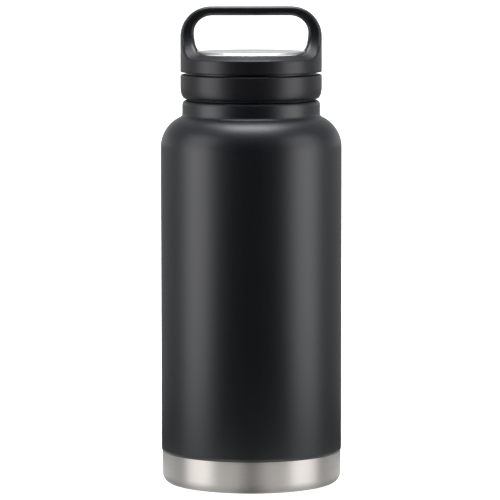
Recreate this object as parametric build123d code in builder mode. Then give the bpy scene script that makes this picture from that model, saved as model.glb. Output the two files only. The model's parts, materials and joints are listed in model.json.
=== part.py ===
from build123d import *
import math
import os

# Insulated growler: a double-wall steel bottle with a lid in two stages.
# Millimetres. Origin at the centre of the base, +Z up, carry loop across X.

# ---- Driving dimensions: bottle ----
body_r = 46.25          # outer radius of the coated body
wall = 0.6              # sheet thickness of both steel walls
neck_r = 35.2           # outer radius of the neck collar
neck_top = 196.65       # height of the lip
neck_corner_r = 2.3     # rounding at the top of the neck collar
neck_root_r = 2.0       # hollow fillet between neck and shoulder
shoulder_r = 16.8       # radius of the shoulder's curve
shoulder_z = 172.6      # height where the straight body ends
shell_edge_z = 16.6     # lower edge of the coated shell
shell_edge_in = 0.3     # how far that edge is rolled inwards
shell_edge_h = 1.7      # height of the rolled edge

band_r = 45.85          # bare base band
base_corner_r = 5.1     # rounding between band and underside
foot_in_r = 36.5        # inner edge of the ring that the bottle stands on
recess_r = 33.0         # raised middle of the underside
recess_z = 3.0
lap_gap = 0.25          # radial gap in the lap between base and shell
lap_h = 6.0             # height of that lap
dimple_r = 7.0          # dimple round the pump-out hole
dimple_slope = 1.5      # width of the dimple's slope
dimple_z = 4.6
pump_hole_r = 1.2
bead_r = 4.0            # sealing bead under the hole
bead_h = 0.8
bead_edge_r = 0.5
cover_gap = 2.0         # how far the cover stays inside the recess
cover_t = 0.7
cover_edge_r = 0.3

vacuum_gap = 2.6        # gap between the two walls
liner_drop = 8.0        # liner's shoulder sits this much lower than the shell's
liner_floor_z = 8.6     # underside of the liner's bottom
liner_corner_r = 9.0
liner_seam_z = 24.0     # weld between liner and its dished bottom
neck_ring_z = 182.5     # weld between liner and the threaded neck ring
seam_gap = 0.05         # line of a weld between two steel edges
foil_gap = 0.12
foil_t = 0.1
foil_short = 2.5        # how far the foil stops before the seam and the shoulder
getter_at = 22.0        # distance of the getter from the axis
getter_r = 4.5
getter_t = 2.0
getter_drop = 0.5       # gap between getter and liner
clip_t = 0.4            # sheet of the getter's holder
clip_gap = 0.1
clip_flange = 2.5       # width of its flange under the liner
clip_lip = 1.5          # how far its lip reaches under the getter

# ---- Driving dimensions: lid ----
lid_r = 36.1            # outer radius of both lid rings
collar_bottom = 197.3
collar_top = 209.7
collar_curve_z = 204.0  # where the collar's lower edge starts to curve in
collar_curve_in = 1.6   # where the long curve gives way to the tight one
collar_curve_h = 0.75
collar_bevel_in = 0.7   # rounding of the collar's upper edge
collar_bevel_h = 0.9
skirt_in_r = 33.1       # inside of the collar's skirt
web_z = 206.9           # underside of the collar's top wall
web_hole_gap = 0.5      # clearance of the top wall's hole round the throat
boss_r = 33.1           # raised ring that the cap's skirt goes over
boss_in_r = 30.8
boss_top = 211.5
cap_bottom = 210.9
cap_edge = 0.4          # bevel along the cap's lower edge
cap_wall_top = 217.8    # where the cap's wall meets its sloped rim
cap_rim_z = 219.7       # top of the sloped rim beside the disc
cap_skirt_in_r = 33.55
cap_web_z = 216.6       # underside of the cap's top wall
groove_z = 218.9        # floor of the groove that takes the disc's rim
disc_seat_z = 220.7     # raised seat under the disc
disc_seat_gap = 0.3     # clearance between the seat and the disc's rim
disc_r = 29.4
disc_gap = 0.15         # clearance round the disc
disc_low = 219.2        # lower edge of the disc's turned-down rim
disc_t = 1.0            # sheet of the disc
disc_edge_r = 1.6       # rounding between the disc's rim and top
disc_crown = 0.1        # how much the disc's top bulges
pad_t = 0.3
pad_r = 27.0

loop_top = 244.2        # top of the carry loop
loop_bar_t = 4.5        # thickness of the bar across the top
loop_corner_r = 15.3    # outer corner, seen from the front
loop_in_r = 29.6        # inside of the uprights, round the lid's axis
loop_in_corner_r = 9.4
loop_half_depth = 6.5   # half the loop's depth, front to back
loop_foot_r = 16.2      # hollow curve that spreads each foot, seen from the side
loop_root = 1.0         # how deep the loop's feet run into the ring

# ---- Driving dimensions: screw threads ----
lead = 6.0              # rise of either lid stage in one turn
thread_depth = 1.4
thread_root_h = 2.6     # height of a ridge at its root
thread_crest_h = 1.2    # and at its crest
thread_clear = 0.4      # radial gap between a crest and the facing root
bury = 0.3              # depth of a ridge's root inside its wall
thread_turns = 1.6
neck_thread_z = 185.0   # start of the neck's ridge
throat_thread_z = 194.0 # start of the throat's ridge

plug_bottom = 180.0     # underside of the collar's plug
plug_wall = 2.8
plug_floor = 2.0
plug_edge = 0.8         # bevel at the plug's lower end
flange_h = 3.0
throat_r = 20.9         # bore of the pouring throat
throat_wall = 2.5
stopper_bottom = 192.5
stopper_wall = 2.4
stopper_floor = 2.2
stopper_edge = 1.0      # bevel at the stopper's lower end
stopper_flange_r = 25.0
stopper_flange_h = 1.6
fit_gap = 0.1           # gap beside foam and other loose inserts
gasket_top = 198.4      # top of the neck gasket
gasket_in = 0.3         # how far the neck gasket stays inside the lip's edge
stopper_gasket_t = 1.8
stopper_gasket_in_r = 21.6
stopper_gasket_out_r = 24.8

# ---- Worked out from the above ----
shoulder_centre_r = body_r - shoulder_r
liner_out = wall + vacuum_gap          # inset of the liner's outer face
liner_in = liner_out + wall            # inset of the liner's inner face
mouth_r = neck_r - liner_in
plug_r = mouth_r - thread_clear - thread_depth
stopper_r = throat_r - thread_clear - thread_depth
lip_end_r = neck_r - neck_corner_r
disc_top = disc_seat_z + pad_t + disc_t

os.makedirs("parts", exist_ok=True)


def finish(part, name):
    """Label a finished piece and write it to its own file."""
    part.part.label = name
    export_step(part.part, f"parts/{name}.step")


def polar(centre, radius, degrees):
    """Point at an angle on a circle in the section plane."""
    angle = math.radians(degrees)
    return (centre[0] + radius * math.cos(angle), centre[1] + radius * math.sin(angle))


def wall_line(inset, low, high, drop=0.0):
    """Draw the bottle's wall line, moved inwards by inset: body, shoulder, neck.

    The shoulder's convex arc and the neck's hollow fillet keep their centres,
    so any inset gives a line parallel to the outside. Returns its two ends.
    """
    body = body_r - inset
    neck = neck_r - inset
    convex = shoulder_r - inset
    hollow = neck_root_r + inset
    across = neck_r + neck_root_r - shoulder_centre_r
    up = math.sqrt((shoulder_r + neck_root_r) ** 2 - across ** 2)
    lower = (shoulder_centre_r, shoulder_z - drop)
    upper = (neck_r + neck_root_r, lower[1] + up)
    tilt = math.degrees(math.atan2(up, across))
    joint = polar(lower, convex, tilt)
    Line((body, low), (body, lower[1]))
    ThreePointArc((body, lower[1]), polar(lower, convex, tilt / 2), joint)
    ThreePointArc(joint, polar(upper, hollow, 180 + tilt / 2), (neck, upper[1]))
    Line((neck, upper[1]), (neck, high))
    return (body, low), (neck, high)


def ridge(root_r, start_z, outwards):
    """Helical thread ridge on a wall of radius root_r, one trapezoid swept up."""
    side = 1 if outwards else -1
    foot = -side * bury
    slope = (thread_root_h - thread_crest_h) / 2 / thread_depth
    half_foot = thread_root_h / 2 + bury * slope
    with BuildPart(mode=Mode.PRIVATE) as swept:
        with BuildLine():
            Helix(lead, lead * thread_turns, root_r, center=(0, 0, start_z))
        with BuildSketch(Plane((root_r, 0, start_z), x_dir=(1, 0, 0), z_dir=(0, -1, 0))):
            with BuildLine():
                Polyline(
                    (foot, -half_foot),
                    (side * thread_depth, -thread_crest_h / 2),
                    (side * thread_depth, thread_crest_h / 2),
                    (foot, half_foot),
                    close=True,
                )
            make_face()
        sweep(is_frenet=True)
    return swept.part


# ================= Bottle =================

with BuildPart() as outer_shell:
    with BuildSketch(Plane.XZ):
        with BuildLine():
            edge_out = (body_r - shell_edge_in, shell_edge_z)
            edge_in = (body_r - wall, shell_edge_z)
            roll_top = shell_edge_z + shell_edge_h
            corner = (lip_end_r, neck_top - neck_corner_r)
            start, end = wall_line(0, roll_top, corner[1])
            ThreePointArc(end, polar(corner, neck_corner_r, 45), polar(corner, neck_corner_r, 90))
            Line(polar(corner, neck_corner_r, 90), polar(corner, neck_corner_r - wall, 90))
            inner_end = wall_line(wall, shell_edge_z, corner[1])[1]
            inner_r = neck_corner_r - wall
            ThreePointArc(inner_end, polar(corner, inner_r, 45), polar(corner, inner_r, 90))
            Line(edge_in, edge_out)
            Line(edge_out, start)
        make_face()
    revolve(axis=Axis.Z)
finish(outer_shell, "outer_shell")

with BuildPart() as base_cup:
    with BuildSketch(Plane.XZ):
        with BuildLine():
            corner = (band_r - base_corner_r, base_corner_r)
            lap_r = body_r - wall - lap_gap
            lap_top = shell_edge_z + lap_h
            Polyline(
                (pump_hole_r, dimple_z),
                (dimple_r - dimple_slope, dimple_z),
                (dimple_r, recess_z),
                (recess_r, recess_z),
                (foot_in_r, 0),
                (corner[0], 0),
            )
            ThreePointArc((corner[0], 0), polar(corner, base_corner_r, -45), (band_r, corner[1]))
            Polyline(
                (band_r, corner[1]),
                (band_r, shell_edge_z - seam_gap),
                (lap_r, shell_edge_z - seam_gap),
                (lap_r, lap_top),
                (lap_r - wall, lap_top),
                (lap_r - wall, corner[1]),
            )
            inner_corner = (lap_r - base_corner_r, corner[1])
            inner_r = base_corner_r - wall
            ThreePointArc(
                (lap_r - wall, corner[1]),
                polar(inner_corner, inner_r, -45),
                (inner_corner[0], wall),
            )
            Polyline(
                (inner_corner[0], wall),
                (foot_in_r + wall / 2, wall),
                (recess_r + wall / 2, recess_z + wall),
                (dimple_r + wall / 2, recess_z + wall),
                (dimple_r - dimple_slope + wall / 2, dimple_z + wall),
                (pump_hole_r, dimple_z + wall),
                (pump_hole_r, dimple_z),
            )
        make_face()
    revolve(axis=Axis.Z)
finish(base_cup, "base_cup")

with BuildPart() as vacuum_seal:
    with BuildSketch(Plane.XY.offset(dimple_z)):
        Circle(bead_r)
    extrude(amount=-bead_h)
    fillet(vacuum_seal.edges().sort_by(Axis.Z)[0], bead_edge_r)
    with BuildSketch(Plane.XY.offset(dimple_z)):
        Circle(pump_hole_r - seam_gap)
    extrude(amount=wall)
finish(vacuum_seal, "vacuum_seal")

with BuildPart() as base_cover:
    with BuildSketch(Plane.XY.offset(recess_z)):
        Circle(recess_r - cover_gap)
    extrude(amount=-cover_t)
    fillet(base_cover.edges().sort_by(Axis.Z)[0], cover_edge_r)
finish(base_cover, "base_cover")

with BuildPart() as neck_ring:
    with BuildSketch(Plane.XZ):
        with BuildLine():
            lip_low = neck_top - wall
            flange_r = lip_end_r - seam_gap
            Polyline(
                (mouth_r, neck_ring_z),
                (mouth_r + wall, neck_ring_z),
                (mouth_r + wall, lip_low),
                (flange_r, lip_low),
                (flange_r, neck_top),
                (mouth_r, neck_top),
                close=True,
            )
        make_face()
    revolve(axis=Axis.Z)
    add(ridge(mouth_r, neck_thread_z, outwards=False))
finish(neck_ring, "neck_ring")

with BuildPart() as inner_liner:
    with BuildSketch(Plane.XZ):
        with BuildLine():
            start, end = wall_line(liner_out, liner_seam_z, neck_ring_z, liner_drop)
            inner_start, inner_end = wall_line(liner_in, liner_seam_z, neck_ring_z, liner_drop)
            Line(end, inner_end)
            Line(inner_start, start)
        make_face()
    revolve(axis=Axis.Z)
finish(inner_liner, "inner_liner")

with BuildPart() as liner_base:
    with BuildSketch(Plane.XZ):
        with BuildLine():
            out_r = body_r - liner_out
            corner = (out_r - liner_corner_r, liner_floor_z + liner_corner_r)
            inner_r = liner_corner_r - wall
            Line((0, liner_floor_z), (corner[0], liner_floor_z))
            ThreePointArc(
                (corner[0], liner_floor_z),
                polar(corner, liner_corner_r, -45),
                (out_r, corner[1]),
            )
            Polyline(
                (out_r, corner[1]),
                (out_r, liner_seam_z),
                (out_r - wall, liner_seam_z),
                (out_r - wall, corner[1]),
            )
            ThreePointArc(
                (out_r - wall, corner[1]),
                polar(corner, inner_r, -45),
                (corner[0], liner_floor_z + wall),
            )
            Polyline(
                (corner[0], liner_floor_z + wall),
                (0, liner_floor_z + wall),
                (0, liner_floor_z),
            )
        make_face()
    revolve(axis=Axis.Z)
finish(liner_base, "liner_base")

with BuildPart() as copper_wrap:
    foil_r = body_r - liner_out + foil_gap
    foil_low = liner_seam_z + foil_short
    foil_h = shoulder_z - liner_drop - foil_short - foil_low
    with BuildSketch(Plane.XY.offset(foil_low)):
        Circle(foil_r + foil_t)
        Circle(foil_r, mode=Mode.SUBTRACT)
    extrude(amount=foil_h)
finish(copper_wrap, "copper_wrap")

with BuildPart() as getter:
    with BuildSketch(Plane.XY.offset(liner_floor_z - getter_drop)):
        with Locations((getter_at, 0)):
            Circle(getter_r)
    extrude(amount=-getter_t)
finish(getter, "getter")

with BuildPart() as getter_holder:
    # A flange under the liner, a sleeve round the getter and a lip below it.
    sleeve_r = getter_r + clip_gap
    sleeve_low = liner_floor_z - clip_t - getter_t - clip_gap
    rings = [
        (liner_floor_z, getter_r + clip_flange, sleeve_r, clip_t),
        (liner_floor_z - clip_t, sleeve_r + clip_t, sleeve_r, getter_t + clip_gap),
        (sleeve_low, sleeve_r + clip_t, getter_r - clip_lip, clip_t),
    ]
    for top, out_r, in_r, height in rings:
        with BuildSketch(Plane.XY.offset(top)):
            with Locations((getter_at, 0)):
                Circle(out_r)
                Circle(in_r, mode=Mode.SUBTRACT)
        extrude(amount=-height)
finish(getter_holder, "getter_holder")

# ================= Collar: lower stage of the lid =================

with BuildPart() as neck_gasket:
    with BuildSketch(Plane.XY.offset(neck_top)):
        Circle(lip_end_r - gasket_in)
        Circle(mouth_r, mode=Mode.SUBTRACT)
    extrude(amount=gasket_top - neck_top)
finish(neck_gasket, "neck_gasket")

with BuildPart() as collar_shell:
    with BuildSketch(Plane.XZ):
        with BuildLine():
            turn = (lid_r - collar_curve_in, collar_bottom + collar_curve_h)
            bevel = (lid_r - collar_bevel_in, collar_top)
            side_top = (lid_r, collar_top - collar_bevel_h)
            hole_r = throat_r + web_hole_gap
            long_curve = TangentArc((lid_r, collar_curve_z), turn, tangent=(0, -1))
            TangentArc(turn, (skirt_in_r, collar_bottom), tangent=long_curve % 1)
            Polyline(
                (skirt_in_r, collar_bottom),
                (skirt_in_r, web_z),
                (hole_r, web_z),
                (hole_r, collar_top),
                (boss_in_r, collar_top),
                (boss_in_r, boss_top),
                (boss_r, boss_top),
                (boss_r, collar_top),
                bevel,
            )
            TangentArc(side_top, bevel, tangent=(0, 1))
            Line(side_top, (lid_r, collar_curve_z))
        make_face()
    revolve(axis=Axis.Z)
finish(collar_shell, "collar_shell")

with BuildPart() as collar_plug:
    with BuildSketch(Plane.XZ):
        with BuildLine():
            flange_r = skirt_in_r - fit_gap
            flange_top = gasket_top + flange_h
            Polyline(
                (throat_r + throat_wall, plug_bottom),
                (plug_r - plug_edge, plug_bottom),
                (plug_r, plug_bottom + plug_edge),
                (plug_r, gasket_top),
                (flange_r, gasket_top),
                (flange_r, flange_top),
                (plug_r - plug_wall, flange_top),
                (plug_r - plug_wall, plug_bottom + plug_floor),
                (throat_r + throat_wall, plug_bottom + plug_floor),
                close=True,
            )
        make_face()
    revolve(axis=Axis.Z)
    add(ridge(plug_r, neck_thread_z - lead / 2, outwards=True))
finish(collar_plug, "collar_plug")

with BuildPart() as pouring_throat:
    with BuildSketch(Plane.XY.offset(plug_bottom)):
        Circle(throat_r + throat_wall - fit_gap / 2)
        Circle(throat_r, mode=Mode.SUBTRACT)
    extrude(amount=web_z - plug_bottom)
    add(ridge(throat_r, throat_thread_z, outwards=False))
finish(pouring_throat, "pouring_throat")

with BuildPart() as collar_foam:
    with BuildSketch(Plane.XZ):
        with BuildLine():
            inner = throat_r + throat_wall + fit_gap
            outer = plug_r - plug_wall - fit_gap
            ledge = gasket_top + flange_h
            Polyline(
                (inner, plug_bottom + plug_floor),
                (outer, plug_bottom + plug_floor),
                (outer, ledge),
                (skirt_in_r - fit_gap, ledge),
                (skirt_in_r - fit_gap, web_z),
                (inner, web_z),
                close=True,
            )
        make_face()
    revolve(axis=Axis.Z)
finish(collar_foam, "collar_foam")

# ================= Handle cap: upper stage of the lid =================

with BuildPart() as stopper_gasket:
    with BuildSketch(Plane.XY.offset(collar_top)):
        Circle(stopper_gasket_out_r)
        Circle(stopper_gasket_in_r, mode=Mode.SUBTRACT)
    extrude(amount=stopper_gasket_t)
finish(stopper_gasket, "stopper_gasket")

with BuildPart() as stopper_cup:
    with BuildSketch(Plane.XZ):
        with BuildLine():
            flange_z = collar_top + stopper_gasket_t
            Polyline(
                (0, stopper_bottom),
                (stopper_r - stopper_edge, stopper_bottom),
                (stopper_r, stopper_bottom + stopper_edge),
                (stopper_r, flange_z),
                (stopper_flange_r, flange_z),
                (stopper_flange_r, flange_z + stopper_flange_h),
                (stopper_r, flange_z + stopper_flange_h),
                (stopper_r, cap_web_z),
                (stopper_r - stopper_wall, cap_web_z),
                (stopper_r - stopper_wall, stopper_bottom + stopper_floor),
                (0, stopper_bottom + stopper_floor),
                close=True,
            )
        make_face()
    revolve(axis=Axis.Z)
    add(ridge(stopper_r, throat_thread_z + lead / 2, outwards=True))
finish(stopper_cup, "stopper_cup")

with BuildPart() as stopper_foam:
    foam_low = stopper_bottom + stopper_floor
    with BuildSketch(Plane.XY.offset(foam_low)):
        Circle(stopper_r - stopper_wall - fit_gap)
    extrude(amount=cap_web_z - foam_low)
finish(stopper_foam, "stopper_foam")

with BuildPart() as handle_cap:
    # The ring: skirt, top wall, sloped rim, groove and seat for the disc.
    with BuildSketch(Plane.XZ):
        with BuildLine():
            groove_out_r = disc_r + disc_gap
            groove_in_r = disc_r - disc_t - disc_seat_gap
            Polyline(
                (0, cap_web_z),
                (cap_skirt_in_r, cap_web_z),
                (cap_skirt_in_r, cap_bottom),
                (lid_r - cap_edge, cap_bottom),
                (lid_r, cap_bottom + cap_edge),
                (lid_r, cap_wall_top),
                (groove_out_r, cap_rim_z),
                (groove_out_r, groove_z),
                (groove_in_r, groove_z),
                (groove_in_r, disc_seat_z),
                (0, disc_seat_z),
                close=True,
            )
        make_face()
    revolve(axis=Axis.Z)
    # The loop: a round-cornered arch about the lid's axis, cut to its side outline.
    with BuildPart(mode=Mode.PRIVATE) as loop:
        root_z = cap_wall_top - loop_root
        with BuildSketch(Plane.XZ):
            with BuildLine():
                FilletPolyline(
                    (0, root_z),
                    (lid_r, root_z),
                    (lid_r, loop_top),
                    (0, loop_top),
                    radius=[0, loop_corner_r],
                )
                Line((0, loop_top), (0, root_z))
            make_face()
        revolve(axis=Axis.Z)
        with BuildSketch(Plane.XZ):
            with BuildLine():
                window_top = loop_top - loop_bar_t
                FilletPolyline(
                    (0, root_z),
                    (loop_in_r, root_z),
                    (loop_in_r, window_top),
                    (0, window_top),
                    radius=[0, loop_in_corner_r],
                )
                Line((0, window_top), (0, root_z))
            make_face()
        revolve(axis=Axis.Z, mode=Mode.SUBTRACT)
        # Side outline: even depth above, a hollow curve that spreads each foot below.
        with BuildSketch(Plane.YZ):
            with BuildLine():
                wide = loop_half_depth + loop_foot_r
                curve_centre = (wide, cap_wall_top + loop_foot_r)
                curve_top = (loop_half_depth, curve_centre[1])
                Polyline(
                    curve_top,
                    (loop_half_depth, loop_top),
                    (0, loop_top),
                    (0, root_z),
                    (wide, root_z),
                    (wide, cap_wall_top),
                )
                ThreePointArc(curve_top, polar(curve_centre, loop_foot_r, 225), (wide, cap_wall_top))
            make_face()
            mirror(about=Plane.YZ)
        extrude(amount=body_r, both=True, mode=Mode.INTERSECT)
    add(loop.part)
finish(handle_cap, "handle_cap")

with BuildPart() as disc_adhesive:
    with BuildSketch(Plane.XY.offset(disc_seat_z)):
        Circle(pad_r)
    extrude(amount=pad_t)
finish(disc_adhesive, "disc_adhesive")

with BuildPart() as cap_disc:
    with BuildSketch(Plane.XZ):
        with BuildLine():
            under_z = disc_top - disc_t
            rim_in_r = disc_r - disc_t
            corner = (disc_r - disc_edge_r, disc_top - disc_edge_r)
            inner_r = disc_edge_r - disc_t
            Line((disc_r, disc_low), (disc_r, corner[1]))
            ThreePointArc((disc_r, corner[1]), polar(corner, disc_edge_r, 45), (corner[0], disc_top))
            TangentArc((0, disc_top + disc_crown), (corner[0], disc_top), tangent=(1, 0))
            Polyline((0, disc_top + disc_crown), (0, under_z), (corner[0], under_z))
            ThreePointArc((corner[0], under_z), polar(corner, inner_r, 45), (rim_in_r, corner[1]))
            Polyline((rim_in_r, corner[1]), (rim_in_r, disc_low), (disc_r, disc_low))
        make_face()
    revolve(axis=Axis.Z)
finish(cap_disc, "cap_disc")
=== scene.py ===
import json
import math

import bmesh
import bpy
import numpy as np
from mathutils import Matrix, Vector


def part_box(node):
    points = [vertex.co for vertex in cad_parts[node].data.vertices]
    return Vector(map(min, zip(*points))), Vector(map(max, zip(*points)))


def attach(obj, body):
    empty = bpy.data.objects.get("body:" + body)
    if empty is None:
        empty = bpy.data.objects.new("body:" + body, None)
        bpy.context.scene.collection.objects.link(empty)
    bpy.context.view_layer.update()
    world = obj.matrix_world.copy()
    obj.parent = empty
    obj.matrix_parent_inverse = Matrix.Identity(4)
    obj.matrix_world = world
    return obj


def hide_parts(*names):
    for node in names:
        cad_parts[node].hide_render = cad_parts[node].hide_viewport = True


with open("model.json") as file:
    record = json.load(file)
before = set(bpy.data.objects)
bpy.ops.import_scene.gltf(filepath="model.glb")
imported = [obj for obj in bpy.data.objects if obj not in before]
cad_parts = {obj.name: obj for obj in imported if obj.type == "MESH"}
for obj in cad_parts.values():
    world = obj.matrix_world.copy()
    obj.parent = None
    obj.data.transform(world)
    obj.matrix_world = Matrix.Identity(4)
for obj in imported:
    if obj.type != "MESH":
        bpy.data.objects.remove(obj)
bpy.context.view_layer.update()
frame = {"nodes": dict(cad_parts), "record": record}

# Insulated growler: coated steel body, bare base and a lid in two stages.
# Outlines are in millimetres, as radius and height, and become metres in the meshes.
MM = 0.001
NODES = frame["nodes"]


def corner(node, index):
    """Radius and height in millimetres of a CAD node's lowest (0) or highest (1) corner."""
    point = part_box(node)[index]
    return abs(point.x) / MM, point.z / MM


# ---- Driving dimensions, from the frame ----
BODY_R, NECK_TOP = corner("outer_shell", 1)
SHELL_LOW = corner("outer_shell", 0)[1]
BAND_R, BAND_HIDDEN_TOP = corner("base_cup", 1)
LID_R = corner("collar_shell", 1)[0]
COLLAR_LOW = corner("collar_shell", 0)[1]
COLLAR_BOSS_TOP = corner("collar_shell", 1)[1]
CAP_LOW = corner("handle_cap", 0)[1]
LOOP_TOP = corner("handle_cap", 1)[1]
DISC_R, DISC_TOP = corner("cap_disc", 1)
DISC_LOW = corner("cap_disc", 0)[1]
COVER_R, COVER_TOP = corner("base_cover", 1)
COVER_LOW = corner("base_cover", 0)[1]

# ---- Shapes of the outlines, as in the CAD model ----
WALL = 0.6
NECK_R = 35.2
NECK_CORNER_R = 2.3
NECK_ROOT_R = 2.0
SHOULDER_R = 16.8
SHOULDER_Z = 172.6
SHELL_EDGE_IN = 0.3
SHELL_EDGE_H = 1.7
BASE_CORNER_R = 5.1
FOOT_IN_R = 36.5
RECESS_R = 33.0
RECESS_Z = 3.0
COLLAR_TOP = 209.7
COLLAR_CURVE_Z = 203.4
COLLAR_SKIRT_IN = 33.1
COLLAR_WEB_Z = 206.9
COLLAR_HOLE_R = 21.4
BOSS_IN_R = 30.8
BOSS_OUT_R = 33.1
CAP_SKIRT_IN = 33.55
CAP_WEB_Z = 216.6
CAP_SEAT_Z = 218.9
CAP_RIM_Z = 220.2
CAP_WALL_TOP = 217.8
LOOP_BAR_T = 4.5
LOOP_CORNER_R = 15.3
LOOP_IN_R = 29.6
LOOP_IN_CORNER_R = 9.4
LOOP_HALF_DEPTH = 6.5
LOOP_FOOT_R = 14.5

# ---- Edges of the visible pieces that the CAD model leaves plain ----
CAP_OUTER_EDGE = (0.5, 1.3)         # outside rounding, at the ring and up the loop
CAP_OUTER_EDGE_RISE = 4.0           # height over which one becomes the other
CAP_WINDOW_EDGE = (0.3, 2.2, 2.5)   # rounding of the window's edge, from the ring upwards
CAP_WINDOW_EDGE_RISE = (0.2, 1.2, 5.8)
CAP_SKIRT_CORNER = 0.6
CAP_SKIRT_EDGE = 0.4
COLLAR_BEVEL_R = 0.85
BOSS_EDGE_R = 0.4
COLLAR_CURVE_POWER = 0.86           # below 1 the curve is tighter at the bottom
COLLAR_CURVE_STOP = 0.25            # flat left beside the skirt's inside
BAND_WALL = 0.8
LAP_STEP = 0.1                      # how far the hidden lap stays inside the band
FOOT_EDGE_R = 1.0
DISC_BEVEL_LOW = 1.9                # below the disc's top
DISC_BEVEL_HIGH = 0.75
DISC_BEVEL_IN = 1.15

AROUND = 256            # facets round a turned piece
ARC_STEP = 7.5          # degrees between points on an outline's arc


# ================= Outlines and meshes =================

def arc(centre, radius, start, end, step=ARC_STEP):
    """Points on an arc from start to end degrees, both ends included."""
    count = max(2, math.ceil(abs(end - start) / step))
    angles = [math.radians(start + (end - start) * i / count) for i in range(count + 1)]
    return [(centre[0] + radius * math.cos(a), centre[1] + radius * math.sin(a)) for a in angles]


def rounded(points):
    """Closed outline from (r, z, corner radius) points, with each corner turned into an arc."""
    outline = []
    count = len(points)
    for i, (r, z, radius) in enumerate(points):
        here = np.array((r, z), float)
        if radius <= 0:
            outline.append((r, z))
            continue
        before = np.array(points[i - 1][:2], float) - here
        after = np.array(points[(i + 1) % count][:2], float) - here
        before /= np.linalg.norm(before)
        after /= np.linalg.norm(after)
        half = math.acos(float(np.clip(before @ after, -1, 1))) / 2
        middle = before + after
        centre = here + middle / np.linalg.norm(middle) * radius / math.sin(half)
        first = here + before * radius / math.tan(half) - centre
        last = here + after * radius / math.tan(half) - centre
        start = math.degrees(math.atan2(first[1], first[0]))
        turn = (math.degrees(math.atan2(last[1], last[0])) - start + 180) % 360 - 180
        outline += arc(centre, radius, start, start + turn, 15.0)
    return outline


def supported(outline, closed):
    """Adds a point near each end of a long straight run, so that it shades flat."""
    margin, long_run = 0.3, 1.4
    points = []
    count = len(outline)
    for i, here in enumerate(outline):
        points.append(here)
        if i == count - 1 and not closed:
            break
        ahead = outline[(i + 1) % count]
        length = math.dist(here, ahead)
        if length > long_run:
            for t in (margin / length, 1 - margin / length):
                points.append(tuple(a + (b - a) * t for a, b in zip(here, ahead)))
    return points


def new_object(name, verts, faces):
    """Mesh object from points in millimetres, with smooth shading."""
    mesh = bpy.data.meshes.new(name)
    mesh.from_pydata((np.asarray(verts, float) * MM).tolist(), [], faces)
    mesh.validate()
    mesh.polygons.foreach_set("use_smooth", [True] * len(mesh.polygons))
    mesh.update()
    piece = bpy.data.objects.new(name, mesh)
    bpy.context.scene.collection.objects.link(piece)
    return piece


def lathe(name, outline, around=AROUND):
    """Turned piece about the Z axis. An outline that starts and ends on the axis is a solid one."""
    on_axis = outline[0][0] == 0 and outline[-1][0] == 0
    points = supported(outline, closed=not on_axis)
    verts, rings = [], []
    for r, z in points:
        if r == 0:
            rings.append([len(verts)] * around)
            verts.append((0, 0, z))
            continue
        rings.append(list(range(len(verts), len(verts) + around)))
        for i in range(around):
            angle = 2 * math.pi * i / around
            verts.append((r * math.cos(angle), r * math.sin(angle), z))
    faces = []
    pairs = list(zip(rings, rings[1:])) + ([] if on_axis else [(rings[-1], rings[0])])
    for low, high in pairs:
        for i in range(around):
            j = (i + 1) % around
            quad = [low[i], low[j], high[j], high[i]]
            face = list(dict.fromkeys(quad))
            if len(face) > 2:
                faces.append(face)
    return new_object(name, verts, faces)


def facing_out(piece):
    """Makes a piece's faces point outwards all over."""
    mesh = bmesh.new()
    mesh.from_mesh(piece.data)
    bmesh.ops.recalc_face_normals(mesh, faces=mesh.faces)
    mesh.to_mesh(piece.data)
    mesh.free()
    return piece


def put(piece, body, nodes, material):
    """Gives a piece its body and its material, and hides the CAD nodes it stands for."""
    piece.data.materials.append(material)
    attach(piece, body)
    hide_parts(*nodes)
    return piece


# ================= Signed distances, for the moulded cap =================

def cut_round(a, b, radius):
    """Both a and b, with a round edge where they meet."""
    reach = np.hypot(np.maximum(radius + a, 0), np.maximum(radius + b, 0))
    return np.minimum(-radius, np.maximum(a, b)) + reach


def join_round(a, b, radius):
    """Either a or b, with a hollow fillet where they meet."""
    reach = np.hypot(np.maximum(radius - a, 0), np.maximum(radius - b, 0))
    return np.maximum(radius, np.minimum(a, b)) - reach


def cap_distance(p):
    """Distance to the cap's surface in millimetres, negative inside."""
    x, y, z = p[..., 0], p[..., 1], p[..., 2]
    r = np.hypot(x, y)
    tilt = math.atan2(CAP_RIM_Z - CAP_WALL_TOP, LID_R - LOOP_IN_R)
    rim = (z - CAP_WALL_TOP) * math.cos(tilt) + (r - LID_R) * math.sin(tilt)
    # The two feet spread sideways into the rim.
    under = join_round(np.abs(y) - LOOP_HALF_DEPTH, rim, LOOP_FOOT_R)
    outside = cut_round(r - LID_R, z - LOOP_TOP, LOOP_CORNER_R)
    outer_edge = np.interp(z - CAP_RIM_Z, (0, CAP_OUTER_EDGE_RISE), CAP_OUTER_EDGE)
    solid = cut_round(outside, under, outer_edge)
    solid = cut_round(solid, CAP_LOW - z, CAP_SKIRT_EDGE)
    # The window under the bar, whose lower end is the seat of the disc.
    window = cut_round(r - LOOP_IN_R, z - (LOOP_TOP - LOOP_BAR_T), LOOP_IN_CORNER_R)
    window = np.maximum(window, CAP_SEAT_Z - z)
    window_edge = np.interp(z - CAP_RIM_Z, CAP_WINDOW_EDGE_RISE, CAP_WINDOW_EDGE)
    solid = cut_round(solid, -window, window_edge)
    hollow = cut_round(r - CAP_SKIRT_IN, z - CAP_WEB_Z, CAP_SKIRT_CORNER)
    return cut_round(solid, -hollow, CAP_SKIRT_EDGE)


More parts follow.
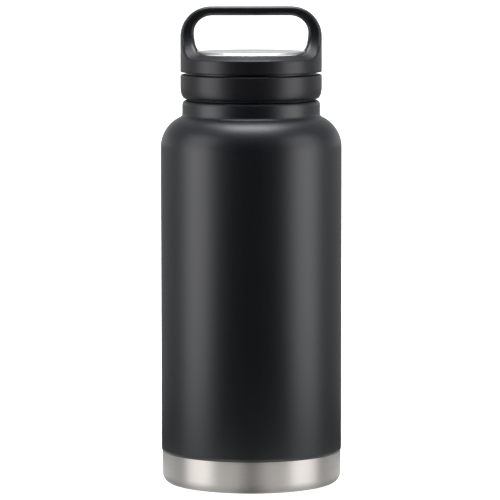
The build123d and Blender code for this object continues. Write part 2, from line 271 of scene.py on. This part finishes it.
def net_surface(distance, low, high, step):
    """Quad mesh of the zero surface of a distance function, its points moved onto the surface."""
    axes = [np.arange(a, b + step, step) for a, b in zip(low, high)]
    grid = np.stack(np.meshgrid(*axes, indexing="ij"), axis=-1)
    field = distance(grid)
    inside = field < 0
    shape = [n - 1 for n in field.shape]
    total = np.zeros(shape + [3])
    hits = np.zeros(shape)
    corners = [(i, j, k) for i in (0, 1) for j in (0, 1) for k in (0, 1)]

    def at(values, offset):
        return values[tuple(slice(start, start + size) for start, size in zip(offset, shape))]

    for axis in range(3):
        for first in [c for c in corners if c[axis] == 0]:
            second = tuple(c + (1 if n == axis else 0) for n, c in enumerate(first))
            a, b = at(field, first), at(field, second)
            crossed = at(inside, first) != at(inside, second)
            t = np.where(crossed, a / np.where(crossed, a - b, 1.0), 0.0)
            for n in range(3):
                place = first[n] + (t if n == axis else 0.0)
                total[..., n] += np.where(crossed, place, 0.0)
            hits += crossed
    used = hits > 0
    index = np.full(shape, -1)
    index[used] = np.arange(int(used.sum()))
    cell = np.argwhere(used)
    points = np.array(low) + (cell + total[used] / hits[used][:, None]) * step
    quads = []
    for axis in range(3):
        u, v = [n for n in range(3) if n != axis]
        ahead = [slice(None)] * 3
        ahead[axis] = slice(1, None)
        behind = [slice(None)] * 3
        behind[axis] = slice(None, -1)
        cross = inside[tuple(behind)] != inside[tuple(ahead)]
        where = np.argwhere(cross)
        where = where[(where[:, u] > 0) & (where[:, v] > 0)]
        outwards = inside[tuple(where.T)]
        if axis == 1:
            outwards = ~outwards
        ring = []
        for du, dv in ((0, 0), (-1, 0), (-1, -1), (0, -1)):
            place = where.copy()
            place[:, u] += du
            place[:, v] += dv
            ring.append(index[tuple(place.T)])
        ring = np.stack(ring, axis=1)
        ring[~outwards] = ring[~outwards][:, ::-1]
        quads.append(ring)
    small = step * 0.02
    for _ in range(4):
        value = distance(points)
        slopes = [distance(points + nudge) - distance(points - nudge) for nudge in small * np.eye(3)]
        slope = np.stack(slopes, axis=-1) / (2 * small)
        size = np.maximum((slope ** 2).sum(-1), 0.05)
        move = slope * (value / size)[:, None]
        points -= np.clip(move, -step / 2, step / 2)
    return points, np.concatenate(quads).tolist()


# ================= Materials =================

class Nodes:
    """Small helper for building a material's node tree."""

    def __init__(self, name):
        self.material = bpy.data.materials.new(name)
        self.material.use_nodes = True
        self.tree = self.material.node_tree
        self.shader = self.tree.nodes["Principled BSDF"]
        self.place = self.add("ShaderNodeTexCoord").outputs["Object"]

    def add(self, kind, inputs=None, **settings):
        node = self.tree.nodes.new(kind)
        for key, value in settings.items():
            setattr(node, key, value)
        for key, value in (inputs or {}).items():
            if isinstance(value, bpy.types.NodeSocket):
                self.tree.links.new(value, node.inputs[key])
            else:
                node.inputs[key].default_value = value
        return node

    def link(self, output, socket):
        self.tree.links.new(output, self.shader.inputs[socket])

    def stretched(self, scale):
        """Object coordinates multiplied by scale along each axis."""
        return self.add("ShaderNodeMapping", {"Vector": self.place, "Scale": scale}).outputs["Vector"]

    def noise(self, vector, scale, detail=2.0, roughness=0.5):
        inputs = {"Vector": vector, "Scale": scale, "Detail": detail, "Roughness": roughness}
        return self.add("ShaderNodeTexNoise", inputs).outputs["Fac"]

    def ramp(self, value, low, high, from_low=0.3, from_high=0.7):
        """Value from a noise, spread over low to high."""
        inputs = {"Value": value, "From Min": from_low, "From Max": from_high, "To Min": low, "To Max": high}
        return self.add("ShaderNodeMapRange", inputs).outputs["Result"]

    def colours(self, value, dark, light):
        """Colour between dark and light by value."""
        node = self.add("ShaderNodeMix", data_type="RGBA")
        node.inputs["Factor"].default_value = 0.5
        self.tree.links.new(value, node.inputs["Factor"])
        node.inputs["A"].default_value = (*dark, 1)
        node.inputs["B"].default_value = (*light, 1)
        return node.outputs["Result"]

    def math(self, operation, first, second=0.0):
        """One step of arithmetic on values."""
        return self.add("ShaderNodeMath", {0: first, 1: second}, operation=operation).outputs[0]

    def smooth(self, value, low, high, at_low, at_high):
        """Soft step from at_low to at_high as the value goes from low to high."""
        inputs = {"Value": value, "From Min": low, "From Max": high, "To Min": at_low, "To Max": at_high}
        return self.add("ShaderNodeMapRange", inputs, interpolation_type="SMOOTHSTEP").outputs["Result"]

    def bump(self, height, strength, distance, under=None):
        inputs = {"Height": height, "Strength": strength, "Distance": distance}
        if under is not None:
            inputs["Normal"] = under
        return self.add("ShaderNodeBump", inputs).outputs["Normal"]


def powder_coat():
    """Satin black powder coat: fine grain over a faint orange peel."""
    m = Nodes("powder_coat")
    peel = m.noise(m.place, 900, 1.0)
    grain = m.noise(m.place, 3800, 2.0, 0.6)
    cloud = m.noise(m.place, 35, 3.0)
    black = m.colours(m.ramp(cloud, 0, 1), (0.0003, 0.0018, 0.0029), (0.0009, 0.0027, 0.0040))
    m.link(black, "Base Color")
    m.link(m.ramp(grain, 0.37, 0.43), "Roughness")
    m.link(m.bump(grain, 0.10, 0.00004, m.bump(peel, 0.08, 0.0001)), "Normal")
    m.shader.inputs["IOR"].default_value = 1.5
    return m.material


def lid_plastic():
    """Satin black moulded plastic with a fine spark-eroded grain."""
    m = Nodes("lid_plastic")
    grain = m.noise(m.place, 5200, 2.0, 0.55)
    cloud = m.noise(m.place, 60, 2.0)
    black = m.colours(m.ramp(cloud, 0, 1), (0.0020, 0.0022, 0.0034), (0.0032, 0.0034, 0.0046))
    m.link(black, "Base Color")
    m.link(m.ramp(grain, 0.36, 0.43), "Roughness")
    m.link(m.bump(grain, 0.10, 0.00003), "Normal")
    m.shader.inputs["IOR"].default_value = 1.42
    return m.material


def moulded(name, dark, light, low, high):
    """Plain moulded plastic, foam or rubber, with its own grain and colour spread."""
    m = Nodes(name)
    grain = m.noise(m.place, 2600, 2.0, 0.55)
    cloud = m.noise(m.place, 90, 2.0)
    m.link(m.colours(m.ramp(cloud, 0, 1), dark, light), "Base Color")
    m.link(m.ramp(grain, low, high), "Roughness")
    m.link(m.bump(grain, 0.12, 0.00005), "Normal")
    return m.material


def brushed(name, dark, light, low, high, streak, strength, spread):
    """Steel brushed round the Z axis: fine streaks that follow the circumference."""
    m = Nodes(name)
    fine = m.noise(m.stretched((60, 60, streak)), 1.0, 3.0, 0.65)
    broad = m.noise(m.stretched((25, 25, streak / 5)), 1.0, 2.0)
    m.link(m.colours(m.ramp(fine, 0, 1), dark, light), "Base Color")
    m.link(m.ramp(broad, low, high), "Roughness")
    m.link(m.bump(fine, strength, 0.00002), "Normal")
    m.link(m.add("ShaderNodeTangent", direction_type="RADIAL", axis="Z").outputs[0], "Tangent")
    m.shader.inputs["Metallic"].default_value = 1.0
    m.shader.inputs["Anisotropic"].default_value = spread
    m.shader.inputs["Anisotropic Rotation"].default_value = 0.25
    return m.material


def satin_disc():
    """Steel disc turned on a lathe: fine rings about its centre."""
    m = Nodes("satin_disc")
    across = m.add("ShaderNodeSeparateXYZ", {"Vector": m.place})
    flat = m.add("ShaderNodeCombineXYZ", {"X": across.outputs["X"], "Y": across.outputs["Y"]}).outputs[0]
    length = m.add("ShaderNodeVectorMath", {0: flat}, operation="LENGTH").outputs["Value"]
    along = {"W": length, "Scale": 9000.0, "Detail": 2.0}
    rings = m.add("ShaderNodeTexNoise", along, noise_dimensions="1D").outputs["Fac"]
    cloud = m.noise(m.place, 120, 2.0)
    m.link(m.colours(m.ramp(rings, 0, 1), (0.60, 0.595, 0.59), (0.70, 0.695, 0.69)), "Base Color")
    m.link(m.ramp(cloud, 0.28, 0.36), "Roughness")
    m.link(m.bump(rings, 0.05, 0.00001), "Normal")
    m.shader.inputs["Metallic"].default_value = 1.0
    return m.material


def metal(name, dark, light, low, high):
    """Plain metal with a little variation."""
    m = Nodes(name)
    grain = m.noise(m.place, 1500, 3.0)
    m.link(m.colours(m.ramp(grain, 0, 1), dark, light), "Base Color")
    m.link(m.ramp(grain, low, high), "Roughness")
    m.link(m.bump(grain, 0.08, 0.00003), "Normal")
    m.shader.inputs["Metallic"].default_value = 1.0
    return m.material


MATERIALS = {
    "powder_coat": powder_coat(),
    "lid_plastic": lid_plastic(),
    "base_steel": brushed(
        "base_steel", (0.47, 0.448, 0.42), (0.53, 0.508, 0.476), 0.42, 0.46, 9000, 0.03, 0.9,
    ),
    "liner_steel": brushed(
        "liner_steel", (0.50, 0.50, 0.50), (0.62, 0.62, 0.62), 0.24, 0.36, 2600, 0.15, 0.5,
    ),
    "disc_steel": satin_disc(),
    "core_plastic": moulded("core_plastic", (0.010, 0.010, 0.011), (0.016, 0.016, 0.017), 0.40, 0.50),
    "silicone": moulded("silicone", (0.003, 0.003, 0.003), (0.005, 0.005, 0.005), 0.60, 0.75),
    "foam": moulded("foam", (0.72, 0.70, 0.64), (0.85, 0.83, 0.78), 0.85, 0.95),
    "adhesive_pad": moulded("adhesive_pad", (0.42, 0.42, 0.40), (0.52, 0.52, 0.50), 0.6, 0.7),
    "copper_foil": metal("copper_foil", (0.72, 0.36, 0.22), (0.86, 0.48, 0.33), 0.2, 0.35),
    "getter_metal": metal("getter_metal", (0.12, 0.12, 0.13), (0.20, 0.20, 0.21), 0.6, 0.8),
    "seal_bead": moulded("seal_bead", (0.26, 0.25, 0.23), (0.34, 0.33, 0.30), 0.15, 0.3),
}


# ================= Pieces =================

def wall_points(inset):
    """Outside line of the coated shell moved inwards: body, shoulder, neck, rolled corner."""
    middle_r = BODY_R - SHOULDER_R
    across = NECK_R + NECK_ROOT_R - middle_r
    up = math.sqrt((SHOULDER_R + NECK_ROOT_R) ** 2 - across ** 2)
    tilt = math.degrees(math.atan2(up, across))
    lip = (NECK_R - NECK_CORNER_R, NECK_TOP - NECK_CORNER_R)
    points = arc((middle_r, SHOULDER_Z), SHOULDER_R - inset, 0, tilt, 3.0)
    points += arc((NECK_R + NECK_ROOT_R, SHOULDER_Z + up), NECK_ROOT_R + inset, 180 + tilt, 180, 6.0)[1:]
    return points + arc(lip, NECK_CORNER_R - inset, 0, 90)


def outer_shell():
    roll = SHELL_EDGE_H
    edge = [(BODY_R - SHELL_EDGE_IN * t * t, SHELL_LOW + roll * (1 - t)) for t in (1, 0.75, 0.5, 0.25, 0)]
    outline = [(BODY_R - WALL, SHELL_LOW)] + edge + wall_points(0.0) + wall_points(WALL)[::-1]
    return facing_out(lathe("body_shell", outline))


def base_cup():
    """The bare band with its rounded corner, the ring it stands on and the raised middle."""
    outline = rounded([
        (0, RECESS_Z + WALL, 0),
        (RECESS_R - 3, RECESS_Z + WALL, 0),
        (FOOT_IN_R + 1, WALL + 0.2, 0),
        (BAND_R - BASE_CORNER_R, WALL, 0),
        (BAND_R - BAND_WALL, BASE_CORNER_R, 0),
        (BAND_R - BAND_WALL, BAND_HIDDEN_TOP, 0),
        (BAND_R - LAP_STEP, BAND_HIDDEN_TOP, 0),
        (BAND_R - LAP_STEP, SHELL_LOW, 0),
        (BAND_R, SHELL_LOW, 0.02),
        (BAND_R, 0, BASE_CORNER_R),
        (FOOT_IN_R, 0, FOOT_EDGE_R),
        (RECESS_R, RECESS_Z, FOOT_EDGE_R),
        (0, RECESS_Z, 0),
    ])
    return facing_out(lathe("base_band", outline))


def base_cover():
    outline = rounded([
        (0, COVER_TOP, 0),
        (COVER_R, COVER_TOP, 0.1),
        (COVER_R, COVER_LOW, 0.3),
        (0, COVER_LOW, 0),
    ])
    return facing_out(lathe("base_disc", outline, 128))


def collar():
    """Lower ring of the lid: bevelled above, curved in below, hollow inside."""
    outline = [(COLLAR_SKIRT_IN, COLLAR_LOW)]
    outline += [(COLLAR_SKIRT_IN, COLLAR_WEB_Z), (COLLAR_HOLE_R, COLLAR_WEB_Z), (COLLAR_HOLE_R, COLLAR_TOP)]
    outline += [(BOSS_IN_R, COLLAR_TOP)]
    outline += arc((BOSS_IN_R + BOSS_EDGE_R, COLLAR_BOSS_TOP - BOSS_EDGE_R), BOSS_EDGE_R, 180, 90, 30)
    outline += arc((BOSS_OUT_R - BOSS_EDGE_R, COLLAR_BOSS_TOP - BOSS_EDGE_R), BOSS_EDGE_R, 90, 0, 30)
    outline += [(BOSS_OUT_R, COLLAR_TOP)]
    outline += arc((LID_R - COLLAR_BEVEL_R, COLLAR_TOP - COLLAR_BEVEL_R), COLLAR_BEVEL_R, 90, 0, 10)
    # The lower edge: a long curve that tightens towards the bottom.
    drop = COLLAR_CURVE_Z - COLLAR_LOW
    depth = LID_R - COLLAR_SKIRT_IN - COLLAR_CURVE_STOP
    for degrees in range(0, 91, 6):
        a = math.radians(degrees)
        bulge = math.cos(a) ** COLLAR_CURVE_POWER
        outline.append((LID_R - depth * (1 - bulge), COLLAR_CURVE_Z - drop * math.sin(a)))
    return facing_out(lathe("lid_collar", outline))


def cap():
    """Upper ring of the lid and its carry loop, one moulding."""
    step = 0.45
    reach = LID_R + 1.5
    low = (-reach, -reach, CAP_LOW - 1.0)
    high = (reach, reach, LOOP_TOP + 1.0)
    points, quads = net_surface(cap_distance, low, high, step)
    return facing_out(new_object("cap_with_loop", points, quads))


def disc():
    """Slightly domed steel disc with a broad bevelled edge."""
    bevel_low, bevel_high = DISC_TOP - DISC_BEVEL_LOW, DISC_TOP - DISC_BEVEL_HIGH
    bevel_in = DISC_R - DISC_BEVEL_IN
    outline = [(0, DISC_LOW), (DISC_R, DISC_LOW), (DISC_R, bevel_low), (bevel_in, bevel_high)]
    for t in (0.985, 0.8, 0.6, 0.4, 0.2, 0):
        outline.append((bevel_in * t, bevel_high + (DISC_TOP - bevel_high) * (1 - t * t)))
    return facing_out(lathe("lid_disc", outline))


def dress_frame():
    """Gives every CAD node the material of its slot."""
    slot_of = {row["node"]: row["material_slot"] for row in frame["record"]["subparts"]}
    for name, piece in NODES.items():
        piece.data.materials.clear()
        piece.data.materials.append(MATERIALS[slot_of[name]])


dress_frame()
put(outer_shell(), "bottle", ["outer_shell"], MATERIALS["powder_coat"])
put(base_cup(), "bottle", ["base_cup"], MATERIALS["base_steel"])
put(base_cover(), "bottle", ["base_cover"], MATERIALS["base_steel"])
put(collar(), "collar", ["collar_shell"], MATERIALS["lid_plastic"])
put(cap(), "cap", ["handle_cap"], MATERIALS["lid_plastic"])
put(disc(), "cap", ["cap_disc"], MATERIALS["disc_steel"])


# ================= Stage, light and camera =================

def floor():
    """Pale sweep: a floor that curves up behind, plain to the camera, with painted light that only
    reflections see.
    """
    front, back, rise, bend, half = -3.0, 3.2, 3.4, 1.2, 6.0
    line = [(front, 0.0), (back - bend, 0.0)]
    for a in np.linspace(0.05, math.pi / 2, 24):
        line.append((back - bend + bend * math.sin(a), bend - bend * math.cos(a)))
    line.append((back, rise))
    verts = [(x, y, z) for y, z in line for x in (-half, half)]
    faces = [(2 * i, 2 * i + 1, 2 * i + 3, 2 * i + 2) for i in range(len(line) - 1)]
    piece = new_object("floor", np.array(verts) / MM, faces)
    m = Nodes("pale_floor_with_painted_reflections")
    tone = m.noise(m.place, 6, 2.0)
    m.link(m.colours(m.ramp(tone, 0, 1), (0.90, 0.90, 0.90), (0.92, 0.92, 0.92)), "Base Color")
    m.shader.inputs["Roughness"].default_value = 0.9
    m.shader.inputs["Emission Color"].default_value = (1, 1, 1, 1)
    m.shader.inputs["Emission Strength"].default_value = 0.93
    # Painted reflections: reflection rays see the floor dimly lit, with a painted pool of light round the
    # foot, darker right at the foot as painted shade, and painted light at the sides.
    flat = m.add("ShaderNodeVectorMath", {0: m.place, 1: (1, 1, 0)}, operation="MULTIPLY").outputs[0]
    away = m.add("ShaderNodeVectorMath", {0: flat}, operation="LENGTH").outputs["Value"]
    axes = m.add("ShaderNodeSeparateXYZ", {"Vector": m.place}).outputs
    aside = m.math("ABSOLUTE", m.math("DIVIDE", axes["X"], away))
    # Painted shade next to the foot, rising to painted light further out.
    rise = m.smooth(away, 0.046, 0.068, 0.3, 1.0)
    fall = m.smooth(away, 0.075, 0.115, 1.0, 0.0)
    turned = m.smooth(aside, 0.0, 0.3, 0.9, 2.25)
    turned = m.math("MULTIPLY", turned, m.smooth(aside, 0.6, 0.95, 1.0, 0.6))
    # The painted pool of light round the foot, seen only in reflections.
    painted_light_pool = m.math("MULTIPLY", m.math("MULTIPLY", rise, fall), turned)
    # Painted light on the floor at the sides, standing in for lamplight, seen only in reflections.
    ahead = m.math("DIVIDE", axes["Y"], away)
    beside = m.smooth(ahead, -0.75, -0.45, 0.0, 3.4)
    beside = m.math("MULTIPLY", beside, m.smooth(ahead, -0.2, 0.1, 1.0, 0.1))
    painted_side_glow = m.math("MULTIPLY", beside, m.smooth(away, 0.12, 0.4, 0.0, 1.0))
    # Painted light for reflections: the sweep behind is brightest a little above the lid.
    painted_wall_glow = m.smooth(axes["Z"], 0.03, 0.26, 0.0, 0.8)
    painted_wall_glow = m.math("MULTIPLY", painted_wall_glow, m.smooth(axes["Z"], 0.3, 1.4, 1.0, 0.1))
    # All the painted light that reflections see, over a faint even painted brightness.
    level = m.math("ADD", m.math("ADD", painted_light_pool, painted_side_glow), m.math("ADD", painted_wall_glow, 0.015))
    # The painted light as emission, which reflection rays see in place of the plain floor.
    painted_reflection = m.add("ShaderNodeEmission", {"Strength": level}).outputs[0]
    glossy = m.add("ShaderNodeLightPath").outputs["Is Glossy Ray"]
    mix = m.add("ShaderNodeMixShader", {0: glossy, 1: m.shader.outputs[0], 2: painted_reflection}).outputs[0]
    m.tree.links.new(mix, m.tree.nodes["Material Output"].inputs["Surface"])
    piece.data.materials.append(m.material)


def softbox(name, place, aim, size, power, colour=(1, 1, 1)):
    """Rectangular light at place, facing aim."""
    light = bpy.data.lights.new(name, "AREA")
    light.shape = "RECTANGLE"
    light.size, light.size_y = size
    light.energy = power
    light.color = colour
    lamp = bpy.data.objects.new(name, light)
    bpy.context.scene.collection.objects.link(lamp)
    direction = np.array(aim) - np.array(place)
    lamp.location = place
    lamp.rotation_euler = Vector(direction).to_track_quat("-Z", "Y").to_euler()
    return lamp


def studio():
    mid = 0.5 * LOOP_TOP * MM
    reach, angle = 1.25, math.radians(72)
    for name, side in (("softbox_left", -1), ("softbox_right", 1)):
        place = (side * reach * math.sin(angle), -reach * math.cos(angle), mid + 0.25)
        softbox(name, place, (0, 0, mid), (0.88, 1.5), 12.2, (1.0, 0.975, 1.0))
    softbox("softbox_top", (0, 0.1, 1.5), (0, 0, mid), (0.85, 0.9), 32, (1.0, 0.975, 1.02))


def surroundings():
    """What the object reflects: dark towards the viewer, grey at the sides, bright behind."""
    world = bpy.data.worlds.new("studio")
    bpy.context.scene.world = world
    world.use_nodes = True
    tree = world.node_tree
    tree.nodes.clear()
    new = tree.nodes.new
    link = tree.links.new
    place = new("ShaderNodeTexCoord")
    split = new("ShaderNodeSeparateXYZ")
    link(place.outputs["Generated"], split.inputs[0])

    def band(source, low, high, to_low, to_high):
        node = new("ShaderNodeMapRange")
        node.interpolation_type = "SMOOTHSTEP"
        link(source, node.inputs["Value"])
        for key, value in (("From Min", low), ("From Max", high), ("To Min", to_low), ("To Max", to_high)):
            node.inputs[key].default_value = value
        return node.outputs["Result"]

    def combine(how, a, b):
        node = new("ShaderNodeMath")
        node.operation = how
        link(a, node.inputs[0])
        link(b, node.inputs[1])
        return node.outputs[0]

    sides = band(split.outputs["Y"], -0.95, -0.2, 0.0, 0.10)
    around = combine("ADD", sides, band(split.outputs["Y"], -0.2, 0.6, 0.0, 0.25))
    behind = band(split.outputs["Y"], 0.86, 0.98, 0.0, 1.0)
    horizon = band(split.outputs["Z"], 0.0, 0.08, 0.0, 1.0)
    above = band(split.outputs["Z"], 0.25, 0.8, 0.0, 0.15)
    level = combine("ADD", combine("ADD", around, combine("MULTIPLY", behind, horizon)), above)
    reflected = new("ShaderNodeBackground")
    reflected.inputs["Color"].default_value = (0.82, 0.97, 1.08, 1)
    link(level, reflected.inputs["Strength"])
    seen = new("ShaderNodeBackground")
    seen.inputs["Color"].default_value = (1, 1, 1, 1)
    path = new("ShaderNodeLightPath")
    mix = new("ShaderNodeMixShader")
    link(path.outputs["Is Camera Ray"], mix.inputs[0])
    link(reflected.outputs[0], mix.inputs[1])
    link(seen.outputs[0], mix.inputs[2])
    link(mix.outputs[0], new("ShaderNodeOutputWorld").inputs[0])


def camera():
    """Long lens, a little above the lid's height, looking slightly down."""
    data = bpy.data.cameras.new("camera")
    data.sensor_width = 36
    data.lens = 259.2
    eye = bpy.data.objects.new("camera", data)
    bpy.context.scene.collection.objects.link(eye)
    eye.location = (-0.0005, -1.837, 0.2942)
    eye.rotation_euler = (math.radians(90 - 5.43), math.radians(0.055), 0)
    bpy.context.scene.camera = eye


floor()
studio()
surroundings()
camera()
bpy.context.scene.view_settings.view_transform = "Standard"
